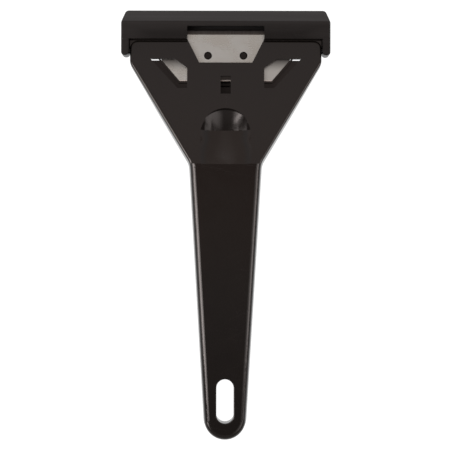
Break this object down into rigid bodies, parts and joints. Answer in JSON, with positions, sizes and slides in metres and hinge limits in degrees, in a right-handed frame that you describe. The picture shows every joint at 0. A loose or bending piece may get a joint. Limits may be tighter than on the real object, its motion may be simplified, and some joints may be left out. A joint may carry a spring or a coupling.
{
  "type": "plastic scraper",
  "caption": "Hand scraper with a broad triangular plastic head, a trapezoid steel blade, a push-on blade guard and a tapering handle with a hanging slot.",
  "frame": {"origin": "on the surface that the tool lies on, under the middle of its length and width", "axes": "+Y from the handle to the blade, +Z out of the front face, +X to the right seen from the front"},
  "size_m": [0.0786, 0.1624, 0.009],
  "materials": {
    "black_plastic": "glossy moulded black plastic with a warm cast",
    "guard_plastic": "satin moulded black plastic",
    "blade_steel": "fine ground carbon steel, light oil film"
  },
  "bodies": {
    "tool": {"handle_body": "black_plastic", "blade": "blade_steel"},
    "guard": {"blade_guard": "guard_plastic"},
    "catch": {"blade_catch": "black_plastic"}
  },
  "joints": [
    {"name": "guard_slide", "type": "slide", "parent": "tool", "child": "guard", "axis": [0, 1, 0], "range_m": [0, 0.03]},
    {"name": "catch_flex", "type": "hinge", "parent": "tool", "child": "catch", "pos_m": [0, 0.0485, 0.00385], "axis": [-1, 0, 0], "range_deg": [0, 4], "stiffness_Nm_per_rad": 0.6}
  ]
}
